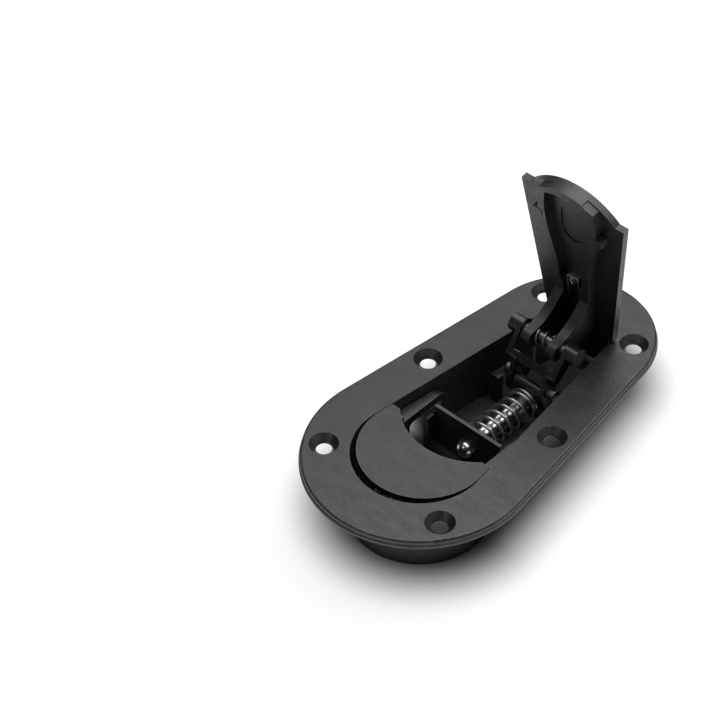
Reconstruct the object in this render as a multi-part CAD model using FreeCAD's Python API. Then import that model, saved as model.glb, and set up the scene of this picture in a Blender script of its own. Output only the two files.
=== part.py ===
import FreeCAD, Part
import os
from math import sin, cos, asin, atan2, sqrt, pi, radians, degrees

# Flush hood latch, in millimetres.
# The origin is on the hood pin's axis, in the plane of the flange's underside, where the panel's skin is.
# X runs along the latch towards the lever's hinge, Y across it, and Z up, out of the panel.
# The lever is modelled folded flush, and is then swung open about its hinge pin, which is the rest pose.

V = FreeCAD.Vector
X_AXIS = V(1, 0, 0)
Y_AXIS = V(0, 1, 0)
Z_AXIS = V(0, 0, 1)

# Flange
FLANGE_FRONT_X = -15.1
FLANGE_FRONT_R = 40.4
FLANGE_BACK_X = 63.6
FLANGE_BACK_R = 30.9
FLANGE_T = 3.0
LIP_T = 1.1
LIP_STEP = 0.4
TOP_EDGE_R = 0.9
SCREW_X = (-33.7, 20.3, 74.2)
SCREW_MARGIN = (9.56, 8.19, 8.82)
SCREW_HOLE_R = 2.8
SCREW_SINK_R = 5.2

# Well, the opening through the flange that the lever and the button fill
WELL_FRONT_X = -14.9
WELL_FRONT_R = 23.4
WELL_BACK_X = 64.5
WELL_BACK_R = 13.9

# Housing below the flange
DEPTH = 25.3
WALL_T = 1.8
TUB_FLOOR_T = 2.0
TUB_END_X = -9.5
MID_WALL_X = (17.5, 42.5)
SIDE_BAND_DEPTH = 8.0
REAR_BAND_DEPTH = 12.0
BACK_BAND_DEPTH = 9.0
LUG_X = (50.3, 61.3)
LUG_CORNER_R = 6.0
HOOK_X = (64.6, 73.6)
HOOK_DEPTH = 23.0
HOOK_CORNER_R = 5.0
GUIDE_T = 2.4
GUIDE_X = (5.9, 41.0)
GUIDE_HIGH_END_X = 11.9
GUIDE_HIGH_Z = -7.3
GUIDE_LOW_H = 4.3
GUIDE_LOW_Z = GUIDE_LOW_H - DEPTH
TIE_X = 22.0
SPRING_FLOOR_Z = -20.0
SPRING_FLOOR_T = 2.0
SPRING_FLOOR_END_X = 37.5
POST_X = (38.7, 41.2)
POST_W = 3.7
POST_TOP_Z = -9.0
SILL_X = 6.4
SILL_H = 3.0
SILL_BEVEL = 1.2
PIN_BORE_R = 5.5
PIN_BORE_LEAD = 0.5
NOSE_X = (-13.8, -9.6)
NOSE_HALF_Y = 6.5
NOSE_TOP_Z = -8.6
NOSE_BORE_GAP = 0.15

# Fits
FIT = 0.03
RUN = 0.06
SEAT = 0.3
SIDE_GAP = 0.3

# Guide plate that the bolt slides through
PLATE_X = 9.0
PLATE_T = 1.4
PLATE_TOP_Z = -2.9
PLATE_EAR_W = 1.0
PLATE_EAR_TOP_Z = -9.0

# Lever
LEVER_OPEN = 81.8
HINGE_X = 64.5
HINGE_Z = -5.3
HINGE_PIN_R = 2.0
SKIN_T = 2.6
NOSE_ARC_X = 13.7
NOSE_ARC_R = 26.0
EAR_X = -4.3
TAIL_STEP_X = 56.0
TAIL_X = 63.0
TAIL_R = 11.5
TAIL_EDGE_R = 1.6
RIB_DEPTH = 5.9
RIB_T = 2.7
RIB_FRONT_Y = 11.6
RIB_WAIST = ((9.0, 11.4), (15.5, 10.0), (22.0, 8.5), (30.0, 7.7), (39.0, 7.4))
REBATE_Y = 7.2
REBATE_T = 0.5
ARM_IN_Y = 3.7
ARM_OUT_Y = 7.4
ARM_START_X = 33.0
EYE_A = 16.2
EYE_D = 20.3
EYE_HALF = 3.3
EYE_END_D = 25.8
HUB_R = 4.5
ARM_KNEE = 10.3
ARM_CURVE = ((6.2, 5.4), (3.7, 11.0))
ELBOW = (2.6, 7.0)
TAB_X = (2.5, 5.0)
TAB_W = 4.0
TAB_DEPTH = 6.1
PAD_X = (-3.5, 13.5)
PAD_HALF_Y = 5.2
PAD_DEPTH = 0.5
STAPLE_X = (29.5, 41.5)
STAPLE_HALF_Y = 2.7
STAPLE_T = 0.5
STAPLE_W = 2.2
CLIP_R = 1.45
CLIP_WIRE_R = 0.35
CLIP_TURNS = 1.5

# Spring round the link pin
KICK_R = 2.9
KICK_WIRE_R = 0.35
KICK_TURNS = 2.0

# Link yoke between the lever and the bolt
LINK_PIN_R = 2.0
LINK_PLATE_Y = (9.3, 11.0)
BOSS_R = 3.45
BOSS_END_GAP = 0.3
BOSS_WALL = 1.2
WEB_RISE = 9.5
LEG_Y = (6.5, 8.0)
STUD_X = 43.2
STUD_Z = -6.3
STUD_EYE_R = 3.9
STUD_R = 2.3
STUD_END_Y = 11.2
FOOT_EYE_R = 3.0
FOOT_HOLE_R = 2.1

# Bolt, its crosshead and springs
BOLT_R = 3.4
BOLT_Z = -13.7
BOLT_DOME_X = 8.9
BOLT_TAIL = 6.5
CROSSHEAD_PIN_X = 44.5
CROSSHEAD_FRONT_X = 40.1
CROSSHEAD_SLAB_T = 4.0
CROSSHEAD_TOP_Z = -5.3
CROSSHEAD_HALF_Y = 5.9
CROSSHEAD_R = 4.3
CROSSHEAD_BASE_Z = -18.8
CROSS_PIN_R = 2.0
SPRING_R = 5.4
SPRING_WIRE_R = 0.55
SPRING_TURNS = 6.5
SPRING_END_TURNS = 1.0

# Button
BUTTON_FRONT_X = -12.6
BUTTON_EDGE_X = -4.5
BUTTON_T = 2.6
ARM_BAR_LAP = 0.6
ARM_BAR_TOP_Z = -2.4
ARM_BAR_H = 3.3
ARM_BAR_HEEL_X = 12.7
ARM_BAR_HEEL_R = 6.0
LEG_BAR_X = 15.5
LEG_BAR_T = 1.3
LEG_GAP = 0.2
TOE_R = 3.0
PIVOT_X = 18.5
PIVOT_Z = -18.0
PIVOT_PIN_R = 1.5
SKIRT_Z = -12.0
SKIRT_START_X = -24.6
SKIRT_END_X = -1.6
SKIRT_CORNER_R = 2.0
SKIRT_T = 2.0
EDGE_RIB_T = 1.6
EDGE_RIB_Z = -4.5
CATCH_REACH = 0.9
CATCH_GAP = 0.2
CATCH_HALF_Y = 6.0
RETURN_BACK = 14.3
RETURN_Y = 9.0
RETURN_R = 2.7
RETURN_WIRE_R = 0.5
RETURN_TURNS = 6.5
SPIGOT_R = 1.9
SPIGOT_H = 3.0


def box(x0, x1, y0, y1, z0, z1):
    return Part.makeBox(x1 - x0, y1 - y0, z1 - z0, V(x0, y0, z0))


def rod_x(r, x0, x1, y, z):
    return Part.makeCylinder(r, x1 - x0, V(x0, y, z), X_AXIS)


def rod_y(r, x, z, y0, y1):
    return Part.makeCylinder(r, y1 - y0, V(x, y0, z), Y_AXIS)


def rod_z(r, x, y, z0, z1):
    return Part.makeCylinder(r, z1 - z0, V(x, y, z0), Z_AXIS)


def mirrored(shape):
    return shape.mirror(V(0, 0, 0), Y_AXIS)


def both(shape):
    return shape.fuse(mirrored(shape))


def joined(shapes):
    return shapes[0].multiFuse(shapes[1:]).removeSplitter()


def taper(front_x, front_r, back_x, back_r):
    return (front_r - back_r) / (back_x - front_x)


def oval(front_x, front_r, back_x, back_r, z0, z1):
    """A plate whose outline is two arcs joined by straight sides that touch both."""
    s = taper(front_x, front_r, back_x, back_r)
    c = sqrt(1 - s * s)
    fa = V(front_x + front_r * s, front_r * c, z0)
    fb = V(front_x + front_r * s, -front_r * c, z0)
    ba = V(back_x + back_r * s, back_r * c, z0)
    bb = V(back_x + back_r * s, -back_r * c, z0)
    edges = [
        Part.Arc(fa, V(front_x - front_r, 0, z0), fb).toShape(),
        Part.makeLine(fb, bb),
        Part.Arc(bb, V(back_x + back_r, 0, z0), ba).toShape(),
        Part.makeLine(ba, fa),
    ]
    return Part.Face(Part.Wire(edges)).extrude(V(0, 0, z1 - z0))


WELL_TAPER = taper(WELL_FRONT_X, WELL_FRONT_R, WELL_BACK_X, WELL_BACK_R)
WELL_COS = sqrt(1 - WELL_TAPER ** 2)


def well(inset, z0, z1):
    return oval(WELL_FRONT_X, WELL_FRONT_R - inset, WELL_BACK_X, WELL_BACK_R - inset, z0, z1)


def well_radius(x):
    """Radius at x of a circle that touches both sides of the well."""
    return WELL_FRONT_R - (x - WELL_FRONT_X) * WELL_TAPER


def well_half(x):
    return well_radius(x) / WELL_COS


# Places across the latch that follow from the well's sides
LEG_BAR_OUT_Y = well_half(PIVOT_X + TOE_R) - SIDE_GAP
LEG_BAR_IN_Y = LEG_BAR_OUT_Y - LEG_BAR_T
GUIDE_OUT_Y = LEG_BAR_IN_Y - LEG_GAP
GUIDE_IN_Y = GUIDE_OUT_Y - GUIDE_T
ARM_BAR_IN_Y = GUIDE_OUT_Y - ARM_BAR_LAP
BOSS_END_Y = GUIDE_IN_Y - BOSS_END_GAP
PLATE_EAR_Y = GUIDE_IN_Y + PLATE_EAR_W
RETURN_X = WELL_FRONT_X - WELL_FRONT_R + RETURN_BACK


def flange_half(x):
    """Half the flange's width at x."""
    s = taper(FLANGE_FRONT_X, FLANGE_FRONT_R, FLANGE_BACK_X, FLANGE_BACK_R)
    if x < FLANGE_FRONT_X:
        return sqrt(FLANGE_FRONT_R ** 2 - (x - FLANGE_FRONT_X) ** 2)
    if x > FLANGE_BACK_X + FLANGE_BACK_R * s:
        return sqrt(FLANGE_BACK_R ** 2 - (x - FLANGE_BACK_X) ** 2)
    return (FLANGE_FRONT_R - (x - FLANGE_FRONT_X) * s) / sqrt(1 - s * s)


SCREW_PLACES = [(x, flange_half(x) - margin) for x, margin in zip(SCREW_X, SCREW_MARGIN)]


def side_plate(points, y0, y1):
    """A plate across Y from an outline in X and Z."""
    loop = [V(x, y0, z) for x, z in points]
    wire = Part.makePolygon(loop + [loop[0]])
    return Part.Face(wire).extrude(V(0, y1 - y0, 0))


def plan_plate(points, z0, z1):
    loop = [V(x, y, z0) for x, y in points]
    wire = Part.makePolygon(loop + [loop[0]])
    return Part.Face(wire).extrude(V(0, 0, z1 - z0))


def smooth_line(points):
    curve = Part.BSplineCurve()
    curve.interpolate(points)
    return curve.toShape()


def band(x0, x1, depth):
    """Part of the wall that hangs below the flange round the well."""
    ring = well(-WALL_T, -depth, 0).cut(well(0, -depth - 1, 1))
    far = FLANGE_FRONT_R
    return ring.common(box(x0, x1, -far, far, -depth, 0))


def lug(x0, x1, depth, corner_r):
    """A deeper tab of that wall, with its rear lower corner rounded."""
    far = FLANGE_FRONT_R
    tab = side_plate(((x0, 0), (x0, -depth), (x1, -depth), (x1, 0)), -far, far)
    rear = [e for e in tab.Edges if abs(e.BoundBox.XMin - x1) < 0.01]
    corner = [e for e in rear if abs(e.BoundBox.ZMax + depth) < 0.01]
    tab = tab.makeFillet(corner_r, corner)
    ring = well(-WALL_T, -depth, 0).cut(well(0, -depth - 1, 1))
    return ring.common(tab)


def countersink(x, y):
    sink = SCREW_SINK_R - SCREW_HOLE_R
    cone = Part.makeCone(SCREW_HOLE_R, SCREW_SINK_R, sink, V(x, y, FLANGE_T - sink), Z_AXIS)
    return cone.fuse(rod_z(SCREW_HOLE_R, x, y, -1, FLANGE_T))


def flange():
    lip = oval(FLANGE_FRONT_X, FLANGE_FRONT_R, FLANGE_BACK_X, FLANGE_BACK_R, 0, LIP_T)
    lip = lip.makeFillet(LIP_STEP * 0.9, [e for e in lip.Edges if e.BoundBox.ZMin > LIP_T - 0.01])
    front_r = FLANGE_FRONT_R - LIP_STEP
    back_r = FLANGE_BACK_R - LIP_STEP
    top = oval(FLANGE_FRONT_X, front_r, FLANGE_BACK_X, back_r, 0, FLANGE_T)
    top = top.makeFillet(TOP_EDGE_R, [e for e in top.Edges if e.BoundBox.ZMin > FLANGE_T - 0.01])
    body = lip.fuse(top).cut(well(0, -1, FLANGE_T + 1))
    for x, y in SCREW_PLACES:
        body = body.cut(countersink(x, y)).cut(countersink(x, -y))
    return body


def guide_walls():
    out_y = GUIDE_OUT_Y
    x0, x1 = GUIDE_X
    high = box(x0, GUIDE_HIGH_END_X, GUIDE_IN_Y, out_y, -DEPTH, GUIDE_HIGH_Z)
    low = box(x0, x1, GUIDE_IN_Y, out_y, -DEPTH, GUIDE_LOW_Z)
    post = box(POST_X[0], POST_X[1], GUIDE_IN_Y - POST_W, GUIDE_IN_Y, -DEPTH, POST_TOP_Z)
    tie_far = well_half(TIE_X) + WALL_T / 2
    tie = box(TIE_X, x1, out_y, tie_far, -DEPTH, GUIDE_LOW_Z)
    tie = tie.common(well(-WALL_T / 2, -DEPTH, 0))
    wall = high.fuse([low, post, tie])
    slot = box(PLATE_X - FIT, PLATE_X + PLATE_T + FIT, GUIDE_IN_Y - 1, PLATE_EAR_Y + FIT, SLOT_FOOT_Z, 0)
    return both(wall.cut(slot))


SLOT_FOOT_Z = -DEPTH + TUB_FLOOR_T


def floors():
    far = FLANGE_FRONT_R
    top = SLOT_FOOT_Z
    out_y = GUIDE_OUT_Y
    tub = well(-WALL_T / 2, -DEPTH, top).common(box(WELL_FRONT_X - far, TUB_END_X, -far, far, -DEPTH, top))
    neck = box(TUB_END_X, PLATE_X + PLATE_T + 2, -out_y, out_y, -DEPTH, top)
    sill = side_plate(
        ((SILL_X, top), (SILL_X, top + SILL_H - SILL_BEVEL), (SILL_X + SILL_BEVEL, top + SILL_H),
         (PLATE_X - FIT, top + SILL_H), (PLATE_X - FIT, top)), -GUIDE_IN_Y, GUIDE_IN_Y)
    rise_x = PLATE_X + PLATE_T + FIT
    under = SPRING_FLOOR_Z - SPRING_FLOOR_T
    deck = box(rise_x, SPRING_FLOOR_END_X, -GUIDE_IN_Y, GUIDE_IN_Y, under, SPRING_FLOOR_Z)
    riser = box(rise_x, rise_x + 2, -GUIDE_IN_Y, GUIDE_IN_Y, -DEPTH, SPRING_FLOOR_Z)
    return joined([tub, neck, sill, deck, riser])


def bolt_nose():
    """Block in the tub that takes the bolt's tip beyond the hood pin."""
    block = box(NOSE_X[0], NOSE_X[1], -NOSE_HALF_Y, NOSE_HALF_Y, -DEPTH, NOSE_TOP_Z)
    upper = [e for e in block.Edges if e.BoundBox.ZMin > NOSE_TOP_Z - 0.01 and e.BoundBox.YLength < 0.01]
    block = block.makeFillet(2.0, upper)
    return block.cut(rod_x(BOLT_R + NOSE_BORE_GAP, NOSE_X[0] - 1, NOSE_X[1] + 1, 0, BOLT_Z))


def base_housing():
    parts = [flange(), band(-WELL_FRONT_R * 2, TUB_END_X, DEPTH), band(MID_WALL_X[0], MID_WALL_X[1], DEPTH)]
    parts += [band(TUB_END_X, MID_WALL_X[0], SIDE_BAND_DEPTH)]
    parts += [band(MID_WALL_X[1], HOOK_X[1], REAR_BAND_DEPTH)]
    parts += [band(HOOK_X[1], FLANGE_FRONT_R * 3, BACK_BAND_DEPTH)]
    parts += [lug(LUG_X[0], LUG_X[1], DEPTH, LUG_CORNER_R)]
    parts += [lug(HOOK_X[0], HOOK_X[1], HOOK_DEPTH, HOOK_CORNER_R)]
    parts += [guide_walls(), floors(), bolt_nose()]
    spigot = rod_z(SPIGOT_R, RETURN_X, RETURN_Y, SLOT_FOOT_Z - 0.5, SLOT_FOOT_Z + SPIGOT_H)
    parts.append(both(spigot))
    body = joined(parts)
    bore = rod_z(PIN_BORE_R, 0, 0, -DEPTH - 1, SLOT_FOOT_Z + 1)
    lead = Part.makeCone(PIN_BORE_R + PIN_BORE_LEAD, PIN_BORE_R, PIN_BORE_LEAD, V(0, 0, -DEPTH), Z_AXIS)
    hinge = rod_y(HINGE_PIN_R + FIT, HINGE_X, HINGE_Z, -FLANGE_FRONT_R, FLANGE_FRONT_R)
    pivot = rod_y(PIVOT_PIN_R + FIT, PIVOT_X, PIVOT_Z, -FLANGE_FRONT_R, FLANGE_FRONT_R)
    return body.cut(bore).cut(lead).cut(hinge).cut(pivot)


def guide_plate():
    body = box(PLATE_X, PLATE_X + PLATE_T, -GUIDE_IN_Y + FIT, GUIDE_IN_Y - FIT, SLOT_FOOT_Z, PLATE_TOP_Z)
    ears = box(PLATE_X, PLATE_X + PLATE_T, -PLATE_EAR_Y, PLATE_EAR_Y, SLOT_FOOT_Z, PLATE_EAR_TOP_Z)
    bore = rod_x(BOLT_R + RUN, PLATE_X - 1, PLATE_X + PLATE_T + 1, 0, BOLT_Z)
    return body.fuse(ears).removeSplitter().cut(bore)


def swung(shape):
    """Swing a piece of the folded lever up to the open pose."""
    turned = shape.copy()
    turned.rotate(V(HINGE_X, 0, HINGE_Z), Y_AXIS, LEVER_OPEN)
    return turned


def in_lever(a, d):
    """Folded place of a point a ahead of the hinge and d under the lever's outer face."""
    return HINGE_X - a, FLANGE_T - d


EYE_X, EYE_Z = in_lever(EYE_A, EYE_D)


def lever_skin():
    z0, z1 = FLANGE_T - SKIN_T, FLANGE_T
    far = FLANGE_FRONT_R
    outline = well(SIDE_GAP, z0, z1)
    front = rod_z(NOSE_ARC_R - SIDE_GAP, NOSE_ARC_X, 0, z0, z1)
    front = front.fuse(box(EAR_X, far * 3, -far, far, z0, z1))
    tail = rod_z(TAIL_R, TAIL_X, 0, z0, z1).fuse(box(TAIL_STEP_X - 1, TAIL_X, -TAIL_R, TAIL_R, z0, z1))
    tail = tail.removeSplitter()
    rim = [e for e in tail.Edges if e.BoundBox.ZMin > z1 - 0.01 and e.BoundBox.XMax > TAIL_X - 0.01]
    tail = tail.makeFillet(TAIL_EDGE_R, rim)
    wide = outline.common(front).common(box(-far, TAIL_STEP_X, -far, far, z0, z1))
    return wide.fuse(tail)


def rib_outline(inset):
    """Waisted outline of the rib frame: the front arc, two curved sides and a straight back."""
    z = FLANGE_T - RIB_DEPTH
    r = NOSE_ARC_R - SIDE_GAP - inset
    front_y = RIB_FRONT_Y - inset
    front_x = NOSE_ARC_X - sqrt(r * r - front_y * front_y)
    side = [V(front_x, front_y, z)] + [V(x, y - inset, z) for x, y in RIB_WAIST]
    side_line = smooth_line(side)
    other_line = smooth_line([V(p.x, -p.y, p.z) for p in side])
    tip = V(NOSE_ARC_X - r, 0, z)
    arc = Part.Arc(side[0], tip, V(side[0].x, -side[0].y, z)).toShape()
    back = Part.makeLine(side[-1], V(side[-1].x, -side[-1].y, z))
    wire = Part.Wire(Part.__sortEdges__([arc, side_line, back, other_line]))
    return Part.Face(wire).extrude(V(0, 0, RIB_DEPTH - SKIN_T / 2))


def lever_ribs():
    frame = rib_outline(0).cut(rib_outline(RIB_T))
    z0 = FLANGE_T - RIB_DEPTH
    r = NOSE_ARC_R - SIDE_GAP
    far = FLANGE_FRONT_R
    rebate = rod_z(far, NOSE_ARC_X, 0, z0 - 1, FLANGE_T - SKIN_T).cut(
        rod_z(r - REBATE_T, NOSE_ARC_X, 0, z0 - 2, FLANGE_T))
    sides = box(-far, 0, REBATE_Y, far, z0 - 1, FLANGE_T - SKIN_T)
    return frame.cut(rebate.common(both(sides)))


def lever_arms():
    """Two plates that run from the waist of the ribs down to the eyes and back to the hub."""
    rib_z = FLANGE_T - RIB_DEPTH
    top_z = FLANGE_T - SKIN_T / 2
    y0 = ARM_IN_Y
    end_z = FLANGE_T - EYE_END_D
    front_x = EYE_X - EYE_HALF
    rear_x = EYE_X + EYE_HALF
    round_z = end_z + EYE_HALF
    start = V(ARM_START_X, y0, top_z)
    knee = V(EYE_X - ARM_KNEE, y0, rib_z)
    wrist = V(front_x, y0, round_z + 2)
    curve = smooth_line([knee] + [V(EYE_X - x, y0, rib_z - z) for x, z in ARM_CURVE] + [wrist])
    hub_low = V(HINGE_X - HUB_R * 0.5, y0, HINGE_Z - HUB_R * 0.87)
    hub_back = V(HINGE_X + HUB_R, y0, HINGE_Z)
    elbow = V(rear_x + ELBOW[0], y0, HINGE_Z - ELBOW[1])
    edges = [
        Part.makeLine(start, V(ARM_START_X, y0, rib_z)),
        Part.makeLine(V(ARM_START_X, y0, rib_z), knee),
        curve,
        Part.makeLine(wrist, V(front_x, y0, round_z)),
        Part.Arc(V(front_x, y0, round_z), V(EYE_X, y0, end_z), V(rear_x, y0, round_z)).toShape(),
        Part.makeLine(V(rear_x, y0, round_z), elbow),
        Part.makeLine(elbow, hub_low),
        Part.Arc(hub_low, V(HINGE_X + HUB_R * 0.5, y0, HINGE_Z - HUB_R * 0.87), hub_back).toShape(),
        Part.makeLine(hub_back, V(HINGE_X + HUB_R, y0, top_z)),
        Part.makeLine(V(HINGE_X + HUB_R, y0, top_z), start),
    ]
    plate = Part.Face(Part.Wire(edges)).extrude(V(0, ARM_OUT_Y - ARM_IN_Y, 0))
    return both(plate)


def lever_tabs():
    z0 = FLANGE_T - TAB_DEPTH
    z1 = FLANGE_T - SKIN_T / 2
    tab = box(TAB_X[0], TAB_X[1], GUIDE_IN_Y - TAB_W, GUIDE_IN_Y, z0, z1)
    return both(tab)


def lever_pad():
    """Shallow long recess in the lever's inner face."""
    z0 = FLANGE_T - SKIN_T - 1
    z1 = FLANGE_T - SKIN_T + PAD_DEPTH
    r = PAD_HALF_Y
    x0, x1 = PAD_X
    ends = rod_z(r, x0 + r, 0, z0, z1).fuse(rod_z(r, x1 - r, 0, z0, z1))
    return ends.fuse(box(x0 + r, x1 - r, -r, r, z0, z1))


def lever():
    hub = rod_y(HUB_R, HINGE_X, HINGE_Z, -ARM_OUT_Y, ARM_OUT_Y)
    body = joined([lever_skin(), lever_ribs(), lever_arms(), lever_tabs(), hub])
    body = body.cut(lever_pad())
    body = body.cut(rod_y(HINGE_PIN_R + RUN, HINGE_X, HINGE_Z, -FLANGE_FRONT_R, FLANGE_FRONT_R))
    body = body.cut(rod_y(LINK_PIN_R + FIT, EYE_X, EYE_Z, -FLANGE_FRONT_R, FLANGE_FRONT_R))
    return swung(body)


def open_place(x, z):
    """Where a point of the folded lever lies when the lever is open."""
    t = radians(LEVER_OPEN)
    dx, dz = x - HINGE_X, z - HINGE_Z
    return HINGE_X + dx * cos(t) + dz * sin(t), HINGE_Z - dx * sin(t) + dz * cos(t)


CRANK_X, CRANK_Z = open_place(EYE_X, EYE_Z)


def link_side():
    """Plate, boss and leg of the yoke on one side."""
    t = radians(45)
    wx = CRANK_X - WEB_RISE * cos(t)
    wz = CRANK_Z - WEB_RISE * sin(t)
    p0, p1 = LINK_PLATE_Y
    l0, l1 = LEG_Y
    boss = rod_y(BOSS_R, CRANK_X, CRANK_Z, p0, BOSS_END_Y)
    plate = side_plate(
        ((CRANK_X - BOSS_R * 0.9, CRANK_Z + BOSS_R * 0.3), (wx - 1.9, wz - 0.6), (wx - 0.4, wz - 3.4),
         (wx + 1.8, wz - 2.6), (CRANK_X + BOSS_R * 0.55, CRANK_Z - BOSS_R * 0.8)), p0, p1)
    step = side_plate(
        ((wx - 1.9, wz - 0.6), (wx - 0.4, wz - 3.4), (wx + 1.8, wz - 2.6), (wx + 0.6, wz + 1.0)),
        l0, p1)
    eye = rod_y(STUD_EYE_R, STUD_X, STUD_Z, l0, l1)
    neck = side_plate(
        ((wx - 1.9, wz - 0.6), (STUD_X - STUD_EYE_R * 0.86, STUD_Z + STUD_EYE_R * 0.5),
         (STUD_X + STUD_EYE_R * 0.8, STUD_Z + STUD_EYE_R * 0.6), (wx + 1.8, wz - 2.6)), l0, l1)
    foot_x = CROSSHEAD_PIN_X
    foot = rod_y(FOOT_EYE_R, foot_x, BOLT_Z, l0, l1)
    run = atan2(BOLT_Z - STUD_Z, foot_x - STUD_X)
    nx, nz = -sin(run), cos(run)
    sx, sz = nx * STUD_EYE_R, nz * STUD_EYE_R
    fx, fz = nx * FOOT_EYE_R, nz * FOOT_EYE_R
    shin = side_plate(
        ((STUD_X + sx, STUD_Z + sz), (foot_x + fx, BOLT_Z + fz), (foot_x - fx, BOLT_Z - fz),
         (STUD_X - sx, STUD_Z - sz)), l0, l1)
    side = joined([boss, plate, step, eye, neck, foot, shin])
    side = side.cut(rod_y(LINK_PIN_R + RUN, CRANK_X, CRANK_Z, p0 - 1, BOSS_END_Y - BOSS_WALL))
    side = side.cut(rod_y(STUD_R + FIT, STUD_X, STUD_Z, l0 - 1, l1 + 1))
    return side.cut(rod_y(FOOT_HOLE_R, foot_x, BOLT_Z, l0 - 1, l1 + 1))


def link():
    t = radians(45)
    wx = CRANK_X - WEB_RISE * cos(t)
    wz = CRANK_Z - WEB_RISE * sin(t)
    y = LINK_PLATE_Y[1]
    web = side_plate(
        ((wx - 1.75, wz - 1.2), (wx - 0.95, wz - 2.1), (wx + 0.7, wz + 0.7), (wx - 0.5, wz + 1.0)), -y, y)
    side = link_side()
    return joined([web, side, mirrored(side)])


def helix(r, wire_r, pitch_runs, start, axis):
    """Round wire wound about an axis; pitch_runs lists (turns, length) one after another."""
    pieces = []
    z = 0.0
    turn = 0.0
    for turns, length in pitch_runs:
        curve = Part.makeHelix(length / turns, length, r)
        curve.rotate(V(0, 0, 0), Z_AXIS, degrees(2 * pi * turn))
        curve.translate(V(0, 0, z))
        pieces += curve.Edges
        z += length
        turn += turns
    path = Part.Wire(pieces)
    first = pieces[0]
    p = first.valueAt(first.FirstParameter)
    tangent = first.tangentAt(first.FirstParameter)
    ring = Part.Wire(Part.makeCircle(wire_r, p, tangent))
    solid = path.makePipeShell([ring], True, True)
    if solid.Volume < 0:
        solid.reverse()
    solid.Placement = FreeCAD.Placement(start, FreeCAD.Rotation(Z_AXIS, axis)).multiply(solid.Placement)
    return solid


def main_spring():
    x0 = PLATE_X + PLATE_T
    length = CROSSHEAD_FRONT_X - x0 - 2 * SPRING_WIRE_R
    close = SPRING_WIRE_R * 2.1
    runs = [(SPRING_END_TURNS, close), (SPRING_TURNS, length - 2 * close), (SPRING_END_TURNS, close)]
    return helix(SPRING_R, SPRING_WIRE_R, runs, V(x0 + SPRING_WIRE_R, 0, BOLT_Z), X_AXIS)


def lock_bolt():
    end_x = CROSSHEAD_FRONT_X + BOLT_TAIL
    shank = rod_x(BOLT_R, BOLT_DOME_X, end_x, 0, BOLT_Z)
    dome = Part.makeSphere(BOLT_R, V(BOLT_DOME_X, 0, BOLT_Z))
    body = shank.fuse(dome).removeSplitter()
    return body.cut(rod_y(CROSS_PIN_R + FIT, CROSSHEAD_PIN_X, BOLT_Z, -BOLT_R - 1, BOLT_R + 1))


def crosshead():
    x0 = CROSSHEAD_FRONT_X
    x1 = x0 + CROSSHEAD_SLAB_T
    y = CROSSHEAD_HALF_Y
    slab = box(x0, x1, -y, y, CROSSHEAD_BASE_Z, CROSSHEAD_TOP_Z)
    upper = [e for e in slab.Edges if e.BoundBox.ZMin > CROSSHEAD_TOP_Z - 0.01 and e.BoundBox.YLength > 1]
    slab = slab.makeFillet(CROSSHEAD_SLAB_T * 0.48, upper)
    barrel = rod_y(CROSSHEAD_R, CROSSHEAD_PIN_X, BOLT_Z, -y, y)
    body = joined([slab, barrel])
    body = body.cut(rod_x(BOLT_R + FIT, x0 - 1, CROSSHEAD_FRONT_X + BOLT_TAIL + FIT, 0, BOLT_Z))
    return body.cut(rod_y(CROSS_PIN_R + FIT, CROSSHEAD_PIN_X, BOLT_Z, -y - 1, y + 1))


def cross_pin():
    return rod_y(CROSS_PIN_R, CROSSHEAD_PIN_X, BOLT_Z, -CROSSHEAD_HALF_Y, CROSSHEAD_HALF_Y)


def link_pin():
    end = BOSS_END_Y - BOSS_WALL - 0.2
    return rod_y(LINK_PIN_R, CRANK_X, CRANK_Z, -end, end)


def link_stud(sign):
    y0, y1 = LEG_Y[0], STUD_END_Y
    stud = rod_y(STUD_R, STUD_X, STUD_Z, y0, y1)
    stud = stud.makeChamfer(0.4, [e for e in stud.Edges if e.BoundBox.YMin > y1 - 0.01])
    return stud if sign > 0 else mirrored(stud)


def hinge_pin():
    end = well_half(HINGE_X) + WALL_T - 0.2
    return rod_y(HINGE_PIN_R, HINGE_X, HINGE_Z, -end, end)


def pivot_pin(sign):
    pin = rod_y(PIVOT_PIN_R, PIVOT_X, PIVOT_Z, GUIDE_IN_Y + 0.2, well_half(PIVOT_X) + WALL_T - 0.2)
    return pin if sign > 0 else mirrored(pin)


def kick_spring():
    half = ARM_IN_Y - SEAT - KICK_WIRE_R
    return helix(KICK_R, KICK_WIRE_R, [(KICK_TURNS, 2 * half)], V(CRANK_X, -half, CRANK_Z), Y_AXIS)


def spring_staple():
    """Flat steel strip bent to a U that stands on edge on the lever's inner face."""
    z1 = FLANGE_T - SKIN_T
    z0 = z1 - STAPLE_W
    x0, x1 = STAPLE_X
    t = STAPLE_T
    y = STAPLE_HALF_Y
    strip = box(x0, x1, -y, y, z0, z1)
    bends = [e for e in strip.Edges if e.BoundBox.XMax < x0 + 0.01 and e.BoundBox.YLength < 0.01]
    strip = strip.makeFillet(2 * t, bends)
    hollow = box(x0 + t, x1 + 1, t - y, y - t, z0 - 1, z1 + 1)
    inner = [e for e in hollow.Edges if e.BoundBox.XMax < x0 + t + 0.01 and e.BoundBox.YLength < 0.01]
    return swung(strip.cut(hollow.makeFillet(t, inner)))


def clip_spring():
    """Short coil that sits inside the strip's bend."""
    length = STAPLE_W - 2 * CLIP_WIRE_R - RUN
    z0 = FLANGE_T - SKIN_T - STAPLE_W + CLIP_WIRE_R
    x = STAPLE_X[0] + STAPLE_T + CLIP_R + CLIP_WIRE_R + RUN
    return swung(helix(CLIP_R, CLIP_WIRE_R, [(CLIP_TURNS, length)], V(x, 0, z0), Z_AXIS))


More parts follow.
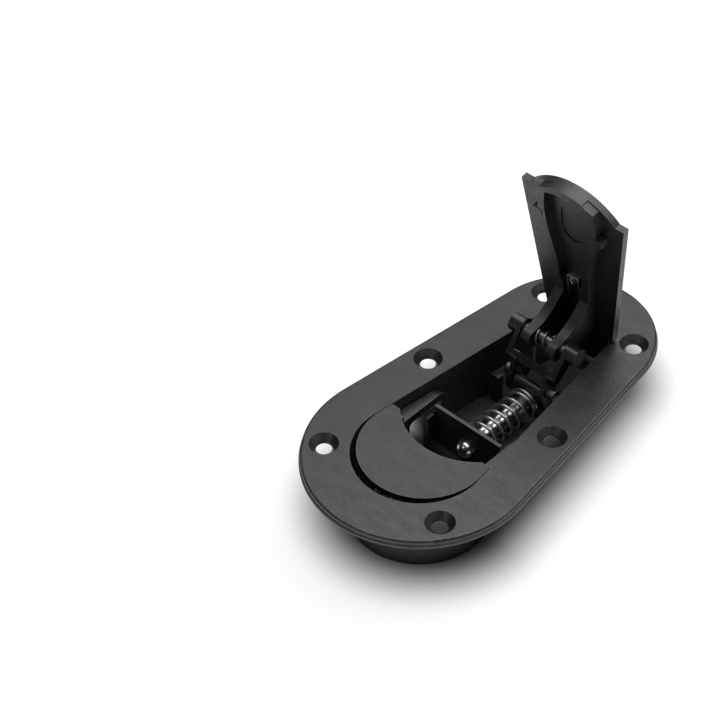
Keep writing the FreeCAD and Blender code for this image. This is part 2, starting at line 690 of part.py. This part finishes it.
def button_plan(z0, z1):
    far = FLANGE_FRONT_R
    front_r = well_radius(BUTTON_FRONT_X) - SIDE_GAP
    front = oval(BUTTON_FRONT_X, front_r, WELL_BACK_X, WELL_BACK_R - SIDE_GAP, z0, z1)
    front = front.cut(rod_z(NOSE_ARC_R, NOSE_ARC_X, 0, z0 - 1, z1 + 1))
    return front.cut(box(BUTTON_EDGE_X, far * 3, -far, far, z0 - 1, z1 + 1))


def arm_outline(y0):
    """Side outline of the button's arm and leg, from its top edge round the heel and the toe."""
    low_z = ARM_BAR_TOP_Z - ARM_BAR_H
    front_x = BUTTON_EDGE_X - 6
    r = ARM_BAR_HEEL_R
    heel = [V(ARM_BAR_HEEL_X + r * sin(t), y0, ARM_BAR_TOP_Z - r + r * cos(t)) for t in (0, pi / 4, pi / 2)]
    toe = [V(PIVOT_X + TOE_R, y0, PIVOT_Z), V(PIVOT_X, y0, PIVOT_Z - TOE_R), V(PIVOT_X - TOE_R, y0, PIVOT_Z)]
    knee = V(LEG_BAR_X, y0, low_z)
    front = [V(front_x, y0, low_z), V(front_x, y0, ARM_BAR_TOP_Z)]
    edges = [
        Part.makeLine(front[1], heel[0]),
        Part.Arc(heel[0], heel[1], heel[2]).toShape(),
        Part.makeLine(heel[2], toe[0]),
        Part.Arc(toe[0], toe[1], toe[2]).toShape(),
        Part.makeLine(toe[2], knee),
        Part.makeLine(knee, front[0]),
        Part.makeLine(front[0], front[1]),
    ]
    return Part.Face(Part.Wire(edges))


def button_skirt():
    """Upright side plate of the button, with a hollow corner where it meets the arm."""
    y0 = ARM_BAR_IN_Y
    y1 = y0 + SKIRT_T
    low_z = ARM_BAR_TOP_Z - ARM_BAR_H
    r = SKIRT_CORNER_R
    top_z = FLANGE_T - BUTTON_T / 2
    plate = side_plate(
        ((SKIRT_START_X, top_z), (SKIRT_START_X, SKIRT_Z), (SKIRT_END_X, SKIRT_Z),
         (SKIRT_END_X, low_z + r), (BUTTON_EDGE_X, top_z)), y0, y1)
    corner = box(SKIRT_END_X - r, SKIRT_END_X + r, y0, y1, low_z - r, low_z + r)
    plate = plate.fuse(corner)
    plate = plate.cut(rod_y(r, SKIRT_END_X + r, low_z - r, 0, FLANGE_FRONT_R))
    above = box(BUTTON_EDGE_X, SKIRT_END_X + r + 1, 0, FLANGE_FRONT_R, ARM_BAR_TOP_Z, FLANGE_T)
    return plate.cut(above)


def button():
    far = FLANGE_FRONT_R
    z0 = FLANGE_T - BUTTON_T
    low_z = ARM_BAR_TOP_Z - ARM_BAR_H
    top = button_plan(z0, FLANGE_T)
    inner = well(SIDE_GAP, PIVOT_Z - TOE_R - 1, FLANGE_T)
    bar = arm_outline(ARM_BAR_IN_Y).extrude(V(0, far, 0)).common(box(-far, far, 0, far, low_z, FLANGE_T))
    leg = arm_outline(LEG_BAR_IN_Y).extrude(V(0, LEG_BAR_T, 0))
    side = joined([bar, leg, button_skirt()]).common(inner)
    side = side.cut(rod_z(NOSE_ARC_R, NOSE_ARC_X, 0, z0 - 0.15, FLANGE_T + 1))
    edge_rib = rod_z(NOSE_ARC_R + EDGE_RIB_T, NOSE_ARC_X, 0, EDGE_RIB_Z, z0 + 1).cut(
        rod_z(NOSE_ARC_R, NOSE_ARC_X, 0, EDGE_RIB_Z - 1, z0 + 2))
    wide = ARM_BAR_IN_Y + 1
    edge_rib = edge_rib.common(box(-far, BUTTON_EDGE_X, -wide, wide, EDGE_RIB_Z, z0 + 1))
    lip_z = FLANGE_T - RIB_DEPTH - CATCH_GAP
    lip = rod_z(NOSE_ARC_R + EDGE_RIB_T / 2, NOSE_ARC_X, 0, EDGE_RIB_Z, lip_z).cut(
        rod_z(NOSE_ARC_R - CATCH_REACH, NOSE_ARC_X, 0, EDGE_RIB_Z - 1, lip_z + 1))
    lip = lip.common(box(-far, NOSE_ARC_X, -CATCH_HALF_Y, CATCH_HALF_Y, EDGE_RIB_Z, lip_z))
    seat = rod_z(SPIGOT_R, RETURN_X, RETURN_Y, z0 - SPIGOT_H, z0 + 1)
    body = joined([top, side, mirrored(side), edge_rib, lip, seat, mirrored(seat)])
    return body.cut(rod_y(PIVOT_PIN_R + RUN, PIVOT_X, PIVOT_Z, -far, far))


def return_spring(sign):
    z0 = SLOT_FOOT_Z + RETURN_WIRE_R
    z1 = FLANGE_T - BUTTON_T - RETURN_WIRE_R
    coil = helix(RETURN_R, RETURN_WIRE_R, [(RETURN_TURNS, z1 - z0)], V(RETURN_X, RETURN_Y, z0), Z_AXIS)
    return coil if sign > 0 else mirrored(coil)


NODES = {
    "base_housing": base_housing,
    "guide_plate": guide_plate,
    "lever": lever,
    "lever_hinge_pin": hinge_pin,
    "spring_staple": spring_staple,
    "link_yoke": link,
    "link_pin": link_pin,
    "kick_spring": kick_spring,
    "clip_spring": clip_spring,
    "crosshead": crosshead,
    "crosshead_pin": cross_pin,
    "lock_bolt": lock_bolt,
    "main_spring": main_spring,
    "button": button,
}
PAIRS = {
    "link_stud": link_stud,
    "button_pivot_pin": pivot_pin,
    "button_spring": return_spring,
}


def main():
    os.makedirs("parts", exist_ok=True)
    shapes = {name: make() for name, make in NODES.items()}
    for name, make in PAIRS.items():
        shapes[name + "_left"] = make(1)
        shapes[name + "_right"] = make(-1)
    for name, shape in shapes.items():
        shape.exportStep(os.path.join("parts", name + ".step"))
        print(name, len(shape.Solids), round(shape.Volume, 1), shape.isValid())


main()
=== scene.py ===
import bpy
import bmesh
import numpy as np
from math import pi, radians
from mathutils import Matrix, Vector


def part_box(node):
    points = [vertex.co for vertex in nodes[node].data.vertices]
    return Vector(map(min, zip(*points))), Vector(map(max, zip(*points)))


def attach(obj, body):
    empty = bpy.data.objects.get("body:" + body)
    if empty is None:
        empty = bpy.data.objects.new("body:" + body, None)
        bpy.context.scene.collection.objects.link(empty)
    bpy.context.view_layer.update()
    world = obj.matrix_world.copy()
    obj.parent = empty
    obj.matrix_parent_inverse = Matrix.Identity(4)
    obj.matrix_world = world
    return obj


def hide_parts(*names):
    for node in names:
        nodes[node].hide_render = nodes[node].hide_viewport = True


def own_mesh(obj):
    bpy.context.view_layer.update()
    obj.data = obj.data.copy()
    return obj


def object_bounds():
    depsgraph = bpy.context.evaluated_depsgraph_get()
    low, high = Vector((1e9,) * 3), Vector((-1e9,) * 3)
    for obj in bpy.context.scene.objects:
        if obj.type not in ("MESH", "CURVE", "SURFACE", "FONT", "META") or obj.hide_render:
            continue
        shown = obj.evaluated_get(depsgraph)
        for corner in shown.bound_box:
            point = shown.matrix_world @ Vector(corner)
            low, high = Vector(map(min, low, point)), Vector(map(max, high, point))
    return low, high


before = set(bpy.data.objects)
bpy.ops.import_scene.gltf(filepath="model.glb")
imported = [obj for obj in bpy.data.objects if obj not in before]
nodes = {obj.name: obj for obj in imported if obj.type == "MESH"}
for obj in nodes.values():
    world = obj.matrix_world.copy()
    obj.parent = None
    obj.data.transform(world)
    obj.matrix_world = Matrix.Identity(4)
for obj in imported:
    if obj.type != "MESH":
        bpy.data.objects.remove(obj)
cad_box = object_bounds()
MM = 0.001


# Camera, at the photographed angle
LENS_MM = 109.0
SENSOR_MM = 36.0
CAMERA_PLACE = (-0.3849, -0.3419, 0.5300)
CAMERA_LOOK = (0.5109, 0.5089, -0.6929)
CAMERA_SIDE = (0.69025, -0.72322, -0.02227)


def place_camera():
    lens = bpy.data.cameras.new("view")
    lens.lens = LENS_MM
    lens.sensor_width = SENSOR_MM
    lens.clip_start = 0.05
    lens.clip_end = 20.0
    cam = bpy.data.objects.new("view", lens)
    bpy.context.scene.collection.objects.link(cam)
    back = -Vector(CAMERA_LOOK).normalized()
    side = Vector(CAMERA_SIDE)
    side = (side - side.dot(back) * back).normalized()
    up = back.cross(side)
    turn = Matrix((side, up, back)).transposed().to_4x4()
    cam.matrix_world = Matrix.Translation(Vector(CAMERA_PLACE)) @ turn
    bpy.context.scene.camera = cam


place_camera()


# Shader values written as expressions
class Value:
    """One shader value: + - * and ** on it add Math nodes."""

    def __init__(self, finish, socket):
        self.finish = finish
        self.socket = socket

    def math(self, operation, a, b):
        return self.finish.node("ShaderNodeMath", {"operation": operation}, {0: a, 1: b})

    def __add__(self, other):
        return self.math("ADD", self, other)

    def __sub__(self, other):
        return self.math("SUBTRACT", self, other)

    def __mul__(self, other):
        return self.math("MULTIPLY", self, other)

    def __pow__(self, other):
        return self.math("POWER", self, other)


class Finish:
    """A material, its shader and the nodes behind it."""

    def __init__(self, name):
        self.material = bpy.data.materials.new(name)
        self.material.use_nodes = True
        self.tree = self.material.node_tree
        self.tree.nodes.clear()
        self.out = self.tree.nodes.new("ShaderNodeOutputMaterial")
        self.shader = self.tree.nodes.new("ShaderNodeBsdfPrincipled")
        self.tree.links.new(self.shader.outputs[0], self.out.inputs[0])
        self.place = self.node("ShaderNodeTexCoord", {}, {}, "Object")

    def node(self, kind, settings, inputs, out=0):
        made = self.tree.nodes.new(kind)
        for key, value in settings.items():
            setattr(made, key, value)
        for key, value in inputs.items():
            if isinstance(value, Value):
                self.tree.links.new(value.socket, made.inputs[key])
            else:
                made.inputs[key].default_value = value
        return Value(self, made.outputs[out])

    def noise(self, per_metre, detail=3.0, roughness=0.5, place=None):
        inputs = {"Vector": place or self.place, "Scale": per_metre}
        inputs.update({"Detail": detail, "Roughness": roughness})
        return self.node("ShaderNodeTexNoise", {"noise_dimensions": "3D"}, inputs)

    def cells(self, per_metre):
        inputs = {"Vector": self.place, "Scale": per_metre}
        return self.node("ShaderNodeTexVoronoi", {"feature": "F1"}, inputs, "Distance")

    def span(self, value, low, high, to_low=0.0, to_high=1.0):
        inputs = {"Value": value, "From Min": low, "From Max": high, "To Min": to_low, "To Max": to_high}
        return self.node("ShaderNodeMapRange", {"interpolation_type": "SMOOTHSTEP"}, inputs)

    def mix(self, factor, dark, light):
        return self.node("ShaderNodeMix", {"data_type": "RGBA"}, {0: factor, 6: dark, 7: light}, 2)

    def dot(self, a, b):
        return self.node("ShaderNodeVectorMath", {"operation": "DOT_PRODUCT"}, {0: a, 1: b}, "Value")

    def along(self, direction):
        return self.dot(self.place, direction)

    def stretched(self, scale):
        return self.node("ShaderNodeMapping", {}, {"Vector": self.place, "Scale": scale})

    def bump(self, height, depth_mm, strength):
        inputs = {"Height": height, "Distance": depth_mm * MM, "Strength": strength}
        return self.node("ShaderNodeBump", {}, inputs)

    # Mask of sharp edges: it places the painted edge highlights and lowers the roughness there.
    def sharp_edge_mask(self, reach_mm):
        """How far the normal turns within the reach: 0 on a flat face and 1 on a sharp edge."""
        soft = self.node("ShaderNodeBevel", {"samples": 4}, {"Radius": reach_mm * MM})
        flat = self.node("ShaderNodeNewGeometry", {}, {}, "Normal")
        return self.span(self.dot(soft, flat), 0.97, 0.80)

    def surface(self, **sockets):
        for key, value in sockets.items():
            socket = self.shader.inputs[key.replace("_", " ")]
            if isinstance(value, Value):
                self.tree.links.new(value.socket, socket)
            else:
                socket.default_value = value


# The first two colours are painted highlights, laid along sharp edges of the nylon and the resin.
PAINTED_EDGE_HIGHLIGHT_NYLON = (0.085, 0.085, 0.087, 1.0)
PAINTED_EDGE_HIGHLIGHT_RESIN = (0.10, 0.10, 0.102, 1.0)
MARKED_STEEL = (0.2, 0.2, 0.2, 1.0)


def shaded(tone, share):
    """The colour made darker or lighter by a share, never past white."""
    return tuple(min(c * share, 1.0) for c in tone) + (1.0,)


def grained_nylon(name, tone, rough, grain_mm):
    """Black glass-filled nylon: a fine spark-eroded grain, faint flow clouds, spots that rub shinier,
    and a painted highlight that lightens the colour along sharp edges, where the roughness is also lower."""
    f = Finish(name)
    grain = f.noise(3000.0, 4.0, 0.62)
    pits = f.cells(2300.0)
    coarse = f.noise(1100.0, 3.0, 0.6)
    clouds = f.noise(95.0, 3.0, 0.55)
    rub = f.noise(320.0, 5.0, 0.6, f.stretched((1.0, 0.35, 1.0)))
    edge = f.sharp_edge_mask(0.35)
    shade = f.span(clouds, 0.3, 0.72) * 0.4 + f.span(grain, 0.3, 0.7) * 0.35 + f.span(coarse, 0.3, 0.7) * 0.35
    plain = f.mix(shade, shaded(tone, 0.7), shaded(tone, 1.45))
    # Painted highlight: the colour turns lighter along sharp edges.
    f.surface(Base_Color=f.mix(edge, plain, PAINTED_EDGE_HIGHLIGHT_NYLON))
    rubbed_rough = f.span(rub, 0.25, 0.8, rough - 0.07, rough + 0.08)
    f.surface(Roughness=rubbed_rough + (coarse - 0.5) * 0.12 - edge * 0.08)
    f.surface(IOR=1.5, Specular_IOR_Level=0.9)
    f.surface(Normal=f.bump(grain * 0.6 + coarse * 0.6 + pits * 0.4, grain_mm, 0.6))
    return f.material


def moulded_resin(name, tone, rough):
    """Smooth black resin of the small moved pieces, with faint sink marks, rubbed sheen and a painted
    highlight along sharp edges.
    """
    f = Finish(name)
    grain = f.noise(5200.0, 3.0, 0.5)
    rub = f.noise(700.0, 4.0, 0.6)
    shade = f.span(rub, 0.3, 0.7) * 0.6 + f.span(f.noise(180.0), 0.3, 0.7) * 0.4
    plain = f.mix(shade, shaded(tone, 0.8), shaded(tone, 1.3))
    # Painted highlight: the colour turns lighter along sharp edges.
    f.surface(Base_Color=f.mix(f.sharp_edge_mask(0.3), plain, PAINTED_EDGE_HIGHLIGHT_RESIN))
    f.surface(Roughness=f.span(rub, 0.25, 0.8, rough - 0.06, rough + 0.08), IOR=1.5, Specular_IOR_Level=0.9)
    f.surface(Normal=f.bump(grain, 0.012, 0.4))
    return f.material


def bright_steel(name, tone, rough, along, score_mm=0.006):
    """Ground steel: fine lines across the piece's length, soft blotches and a few darker marks."""
    f = Finish(name)
    lines = f.noise(900.0, 4.0, 0.6, f.stretched(along))
    blotch = f.noise(420.0, 3.0, 0.5)
    mark = f.span(f.noise(1300.0, 2.0, 0.5), 0.62, 0.78)
    shade = f.span(lines, 0.3, 0.7) * 0.55 + f.span(blotch, 0.3, 0.7) * 0.45
    colour = f.mix(shade, shaded(tone, 0.82), shaded(tone, 1.12))
    f.surface(Base_Color=f.mix(mark * 0.4, colour, MARKED_STEEL), Metallic=1.0)
    f.surface(Roughness=f.span(lines, 0.2, 0.8, rough - 0.05, rough + 0.07) + mark * 0.1)
    f.surface(Normal=f.bump(lines, score_mm, 0.5))
    return f.material


NYLON = grained_nylon("black_grained_nylon", (0.006, 0.006, 0.0062), 0.46, 0.085)
NYLON_INNER = grained_nylon("black_nylon_inside", (0.005, 0.005, 0.0052), 0.42, 0.03)
RESIN = moulded_resin("black_resin", (0.008, 0.008, 0.0083), 0.36)
STEEL = bright_steel("ground_steel", (0.66, 0.66, 0.67), 0.24, (7.0, 0.2, 0.2), 0.014)
DULL_STEEL = bright_steel("plated_steel", (0.22, 0.22, 0.23), 0.34, (3.0, 1.0, 1.0))
WIRE = bright_steel("drawn_wire", (0.52, 0.52, 0.53), 0.36, (0.6, 0.6, 0.6))


# Pieces taken over from the solids, with their edges rounded
def wear(piece, material):
    piece.data.materials.clear()
    piece.data.materials.append(material)


def link_piece(name, data, body):
    piece = bpy.data.objects.new(name, data)
    bpy.context.scene.collection.objects.link(piece)
    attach(piece, body)
    return piece


EDGE_STEPS = 2
EDGE_ANGLE = radians(32)
FLAT_ANGLE = radians(0.6)


def rounded(node, body, material, edge_mm):
    """The solid with its loose triangles merged, flat faces joined and its edges rounded."""
    data = nodes[node].data.copy()
    mesh = bmesh.new()
    mesh.from_mesh(data)
    bmesh.ops.remove_doubles(mesh, verts=mesh.verts, dist=1e-6)
    bmesh.ops.dissolve_limit(mesh, angle_limit=FLAT_ANGLE, verts=mesh.verts, edges=mesh.edges)
    wide = [face for face in mesh.faces if len(face.verts) > 4]
    bmesh.ops.triangulate(mesh, faces=wide, quad_method="BEAUTY", ngon_method="BEAUTY")
    for face in mesh.faces:
        face.smooth = True
    mesh.to_mesh(data)
    mesh.free()
    piece = link_piece(node + "_finished", data, body)
    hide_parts(node)
    bevel = piece.modifiers.new("edges", "BEVEL")
    bevel.width = edge_mm * MM
    bevel.segments = EDGE_STEPS
    bevel.limit_method = "ANGLE"
    bevel.angle_limit = EDGE_ANGLE
    bevel.use_clamp_overlap = True
    even = piece.modifiers.new("flat faces", "WEIGHTED_NORMAL")
    even.mode = "FACE_AREA"
    even.weight = 100
    wear(piece, material)
    return piece


# Surfaces worked out on a grid of two parameters
def grid_piece(name, body, points, material):
    """A quad surface over points[u, v], joined round in u, with each end in v closed by a fan."""
    rows, cols, _ = points.shape
    uu, vv = np.meshgrid(np.arange(rows), np.arange(cols - 1), indexing="ij")
    un = (uu + 1) % rows
    vn = vv + 1
    quads = np.stack([uu * cols + vv, un * cols + vv, un * cols + vn, uu * cols + vn], axis=-1).reshape(-1, 4)
    faces = quads.tolist()
    first = points[:, 0].mean(axis=0)
    last = points[:, -1].mean(axis=0)
    verts = np.vstack([points.reshape(-1, 3), first, last])
    middle = rows * cols
    ring = np.arange(rows) * cols
    after = (np.arange(rows) + 1) % rows * cols
    end = cols - 1
    faces += np.stack([after, ring, np.full(rows, middle)], axis=-1).tolist()
    faces += np.stack([ring + end, after + end, np.full(rows, middle + 1)], axis=-1).tolist()
    data = bpy.data.meshes.new(name)
    data.from_pydata((verts * MM).tolist(), [], faces)
    data.validate()
    fix_outward(data)
    data.polygons.foreach_set("use_smooth", np.ones(len(data.polygons), bool))
    piece = link_piece(name, data, body)
    wear(piece, material)
    return piece


def fix_outward(data):
    mesh = bmesh.new()
    mesh.from_mesh(data)
    bmesh.ops.remove_doubles(mesh, verts=mesh.verts, dist=1e-8)
    bmesh.ops.recalc_face_normals(mesh, faces=mesh.faces)
    mesh.to_mesh(data)
    mesh.free()


TIP_R = 0.001


def turned(name, body, axis, centre, profile, material, around=48):
    """A surface of revolution: profile rows are (along, radius) from end to end, carried round the axis."""
    profile = np.array(profile, float)
    angle = np.linspace(0, 2 * pi, around, endpoint=False)[:, None]
    along = np.repeat(profile[None, :, 0], around, axis=0)
    a = profile[None, :, 1] * np.cos(angle)
    b = profile[None, :, 1] * np.sin(angle)
    columns = {"X": (along, a, b), "Y": (b, along, a), "Z": (a, b, along)}[axis]
    points = np.stack(columns, axis=-1) + np.array(centre, float)
    return grid_piece(name, body, points, material)


def corner(at, radius, turn, r, steps=5):
    """Quarter round of size r on a turned profile's outer edge; turn is +1 at the start and -1 at the end."""
    t = np.linspace(0, pi / 2, steps)
    along = r - r * np.cos(t)
    out = radius - r + r * np.sin(t)
    rows = np.stack([at + turn * along, out], axis=-1)
    return rows[::turn].tolist()


def pin(name, body, axis, centre, start, end, radius, material, edge=0.25):
    """A round pin with both ends rounded off."""
    near = corner(start, radius, 1, edge)
    far = corner(end, radius, -1, edge)
    profile = [[start, TIP_R]] + near + far + [[end, TIP_R]]
    return turned(name, body, axis, centre, profile, material)


COIL_STEPS = 40
WIRE_STEPS = 12
PITCH_BLEND = 0.18


def coil(name, body, axis, start, radius, wire, runs, material):
    """Wire wound about an axis. The centre line is at angle t and height h(t), where runs gives
    (turns, height) one after another, and a circle of the wire's size is carried along it,
    square to its direction."""
    turn_at = np.concatenate([[0], np.cumsum([r[0] for r in runs])])
    height_at = np.concatenate([[0], np.cumsum([r[1] for r in runs])])
    count = int(turn_at[-1] * COIL_STEPS) + 1
    turns = np.linspace(0, turn_at[-1], count)
    fine = np.linspace(0, turn_at[-1], count * 4)
    heights = np.interp(fine, turn_at, height_at)
    width = int(COIL_STEPS * 4 * PITCH_BLEND)
    padded = np.pad(heights, width, mode="reflect", reflect_type="odd")
    heights = np.convolve(padded, np.ones(2 * width + 1) / (2 * width + 1), mode="valid")
    h = np.interp(turns, fine, heights)
    angle = 2 * pi * turns
    line = np.stack([radius * np.cos(angle), radius * np.sin(angle), h], axis=-1)
    ahead = np.gradient(line, axis=0)
    ahead /= np.linalg.norm(ahead, axis=1)[:, None]
    out = np.stack([np.cos(angle), np.sin(angle), np.zeros(count)], axis=-1)
    out -= ahead * (out * ahead).sum(axis=1)[:, None]
    out /= np.linalg.norm(out, axis=1)[:, None]
    across = np.cross(ahead, out)
    ring = np.linspace(0, 2 * pi, WIRE_STEPS, endpoint=False)[:, None, None]
    points = line[None] + wire * (np.cos(ring) * out[None] + np.sin(ring) * across[None])
    if axis == "X":
        points = points[..., [2, 0, 1]]
    if axis == "Y":
        points = points[..., [1, 2, 0]]
    return grid_piece(name, body, points + np.array(start, float), material)


def build_moulded():
    rounded("base_housing", "housing", NYLON, 0.3)
    rounded("guide_plate", "housing", NYLON_INNER, 0.1)
    rounded("lever", "lever", NYLON, 0.2)
    rounded("button", "button", NYLON, 0.3)
    rounded("link_yoke", "link", RESIN, 0.25)
    rounded("crosshead", "bolt", RESIN, 0.25)


# Places and sizes of the steel pieces, in millimetres, as the solids have them
HINGE = (64.5, 0, -5.3)
CRANK = (50.312, 0, 9.023)
STUD = (43.2, 0, -6.3)
PIVOT = (18.5, 0, -18.0)
PIN_R = 2.0
HINGE_PIN_HALF = 15.6
LINK_PIN_HALF = 13.2
STUD_R = 2.3
STUD_Y = (6.5, 11.2)
STUD_EDGE = 0.4
PIVOT_PIN_R = 1.5
BOLT_R = 3.4
BOLT_Z = -13.7
BOLT_DOME_X = 8.9
BOLT_SHANK_X = (20.0, 32.0)
BOLT_END_X = 46.6
BOLT_EDGE = 0.3
MAIN_R = 5.4
MAIN_WIRE_R = 0.55
MAIN_START_X = 10.95
MAIN_RUNS = ((1.0, 1.155), (6.5, 26.29), (1.0, 1.155))
KICK_R = 2.9
KICK_WIRE_R = 0.35
KICK_HALF = 3.05
KICK_TURNS = 2.0
RETURN_R = 2.7
RETURN_WIRE_R = 0.5
RETURN_PLACE = (-24.0, 9.0, -22.8)
RETURN_RUN = (6.5, 22.7)
SIDES = (("left", 1), ("right", -1))


def build_pins():
    half = HINGE_PIN_HALF
    name = "lever_hinge_pin_finished"
    hinge = pin(name, "housing", "Y", HINGE, -half, half, PIN_R, DULL_STEEL)
    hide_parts("lever_hinge_pin")
    half = LINK_PIN_HALF
    cross = pin("link_pin_finished", "lever", "Y", CRANK, -half, half, PIN_R, DULL_STEEL)
    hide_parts("link_pin")
    for side, sign in SIDES:
        y0, y1 = sorted(sign * y for y in STUD_Y)
        name = "link_stud_finished_" + side
        stud = pin(name, "link", "Y", STUD, y0, y1, STUD_R, DULL_STEEL, STUD_EDGE)
        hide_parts("link_stud_" + side)
    for side, sign in SIDES:
        node = "button_pivot_pin_" + side
        low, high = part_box(node)
        y0, y1 = low[1] / MM, high[1] / MM
        name = node + "_finished"
        pivot = pin(name, "housing", "Y", PIVOT, y0, y1, PIVOT_PIN_R, DULL_STEEL)
        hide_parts(node)


def build_bolt():
    """The bolt's profile: a half-round tip, a plain shank and a rounded tail."""
    r = BOLT_R
    t = np.linspace(0.02, pi / 2, 14)
    tip = np.stack([BOLT_DOME_X - r * np.cos(t), r * np.sin(t)], axis=-1).tolist()
    shank = [[x, r] for x in BOLT_SHANK_X]
    profile = tip + shank + corner(BOLT_END_X, r, -1, BOLT_EDGE) + [[BOLT_END_X, TIP_R]]
    bolt = turned("lock_bolt_finished", "bolt", "X", (0, 0, BOLT_Z), profile, STEEL, 64)
    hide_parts("lock_bolt")


def build_springs():
    runs = MAIN_RUNS
    start = (MAIN_START_X, 0, BOLT_Z)
    name = "main_spring_finished"
    main = coil(name, "housing", "X", start, MAIN_R, MAIN_WIRE_R, runs, WIRE)
    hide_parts("main_spring")
    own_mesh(main)
    start = (CRANK[0], -KICK_HALF, CRANK[2])
    runs = ((KICK_TURNS, 2 * KICK_HALF),)
    kick = coil("kick_spring_finished", "lever", "Y", start, KICK_R, KICK_WIRE_R, runs, WIRE)
    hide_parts("kick_spring")
    x, y, z = RETURN_PLACE
    runs = (RETURN_RUN,)
    for side, sign in SIDES:
        name = "button_spring_finished_" + side
        start = (x, sign * y, z)
        back = coil(name, "housing", "Z", start, RETURN_R, RETURN_WIRE_R, runs, WIRE)
        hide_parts("button_spring_" + side)
        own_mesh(back)


def build_steel():
    build_pins()
    build_bolt()
    build_springs()
    wear(nodes["crosshead_pin"], DULL_STEEL)
    rounded("spring_staple", "lever", WIRE, 0.12)
    wear(nodes["clip_spring"], WIRE)


build_moulded()
build_steel()


# Floor and light
FLOOR_HALF = 3.0
FLOOR_WHITE = 0.34
FLOOR_GLOW = 0.78


def shadow_edge(f):
    """How many metres a floor point lies outside the edge of the shadow painted on the floor. The distance
    is taken from a line under the latch along x. The painted shadow narrows towards the hinge, and on
    the far side it is drawn in beside the button and let out beside the lever."""
    x = f.along((1.0, 0.0, 0.0))
    y = f.along((0.0, 1.0, 0.0))
    near = f.node("ShaderNodeClamp", {}, {0: x, 1: -0.010, 2: 0.070})
    out = ((x - near) ** 2.0 + (y - 0.0015) ** 2.0) ** 0.5
    deeper = f.span(x, 0.011, 0.020, 0.004, -0.005) * f.span(x, -0.03, -0.01) * f.span(y, 0.0, 0.01)
    return out + near * 0.148 - 0.0384 + deeper


def floor_with_painted_shadow():
    """A pale floor with a soft shadow painted into its colour and its glow: black in the painted shadow,
    and glowing where the camera or a reflection sees it.
    """
    low = cad_box[0][2]
    data = bpy.data.meshes.new("floor")
    s = FLOOR_HALF
    data.from_pydata([(-s, -s, low), (s, -s, low), (s, s, low), (-s, s, low)], [], [(0, 1, 2, 3)])
    floor = bpy.data.objects.new("floor", data)
    bpy.context.scene.collection.objects.link(floor)
    f = Finish("pale_floor_painted_shadow")
    # Painted shadow: tone runs from 0.015 deep in the shadow to 1 clear of it; it mixes the floor's colour
    # from black.
    tone = f.span(shadow_edge(f), -0.013, 0.0125, 0.015, 1.0)
    black = (0.0, 0.0, 0.0, 1.0)
    f.surface(Base_Color=f.mix(tone, black, (FLOOR_WHITE, FLOOR_WHITE, FLOOR_WHITE, 1.0)))
    f.surface(Roughness=0.9, Specular_IOR_Level=0.0)
    straight = f.node("ShaderNodeLightPath", {}, {}, "Is Camera Ray")
    mirrored = f.node("ShaderNodeLightPath", {}, {}, "Is Glossy Ray")
    # The glow is dimmed by the same painted shadow.
    strength = (straight + mirrored) * tone * FLOOR_GLOW
    glow = f.node("ShaderNodeEmission", {}, {"Color": (1, 1, 1, 1), "Strength": strength})
    both = f.node("ShaderNodeAddShader", {}, {0: Value(f, f.shader.outputs[0]), 1: glow})
    f.tree.links.new(both.socket, f.out.inputs[0])
    data.materials.append(f.material)


def soft_panel(name, place, aim, size, power):
    data = bpy.data.lights.new(name, "AREA")
    data.shape = "RECTANGLE"
    data.size, data.size_y = size
    data.energy = power
    lamp = bpy.data.objects.new(name, data)
    bpy.context.scene.collection.objects.link(lamp)
    lamp.location = place
    lamp.rotation_euler = (Vector(aim) - Vector(place)).to_track_quat("-Z", "Y").to_euler()


WORLD_SEEN = 0.98
WORLD_LIGHT = 0.02
PANELS = (
    ("overhead", (0.46, -0.05, 1.2), (0.02, 0.0, 0.0), (1.7, 1.7), 19.0),
    ("sheen", (0.26, 0.30, 0.86), (-0.02, -0.02, 0.0), (0.8, 0.8), 1.1),
    ("strip", (-1.05, 0.17, 0.88), (0.03, 0.0, 0.0), (0.16, 0.5), 1.1),
)


def studio():
    """A world that is white where it is seen and nearly dark as a light, and three soft panels."""
    world = bpy.data.worlds.new("studio")
    bpy.context.scene.world = world
    world.use_nodes = True
    tree = world.node_tree
    tree.nodes.clear()
    out = tree.nodes.new("ShaderNodeOutputWorld")
    back = tree.nodes.new("ShaderNodeBackground")
    ray = tree.nodes.new("ShaderNodeLightPath")
    level = tree.nodes.new("ShaderNodeMath")
    level.operation = "MULTIPLY_ADD"
    level.inputs[1].default_value = WORLD_SEEN
    level.inputs[2].default_value = WORLD_LIGHT
    tree.links.new(ray.outputs["Is Camera Ray"], level.inputs[0])
    tree.links.new(level.outputs[0], back.inputs["Strength"])
    tree.links.new(back.outputs[0], out.inputs[0])
    back.inputs["Color"].default_value = (1.0, 1.0, 1.0, 1.0)
    for name, place, aim, size, power in PANELS:
        soft_panel(name, place, aim, size, power)


floor_with_painted_shadow()
studio()
bpy.context.scene.view_settings.view_transform = "Standard"
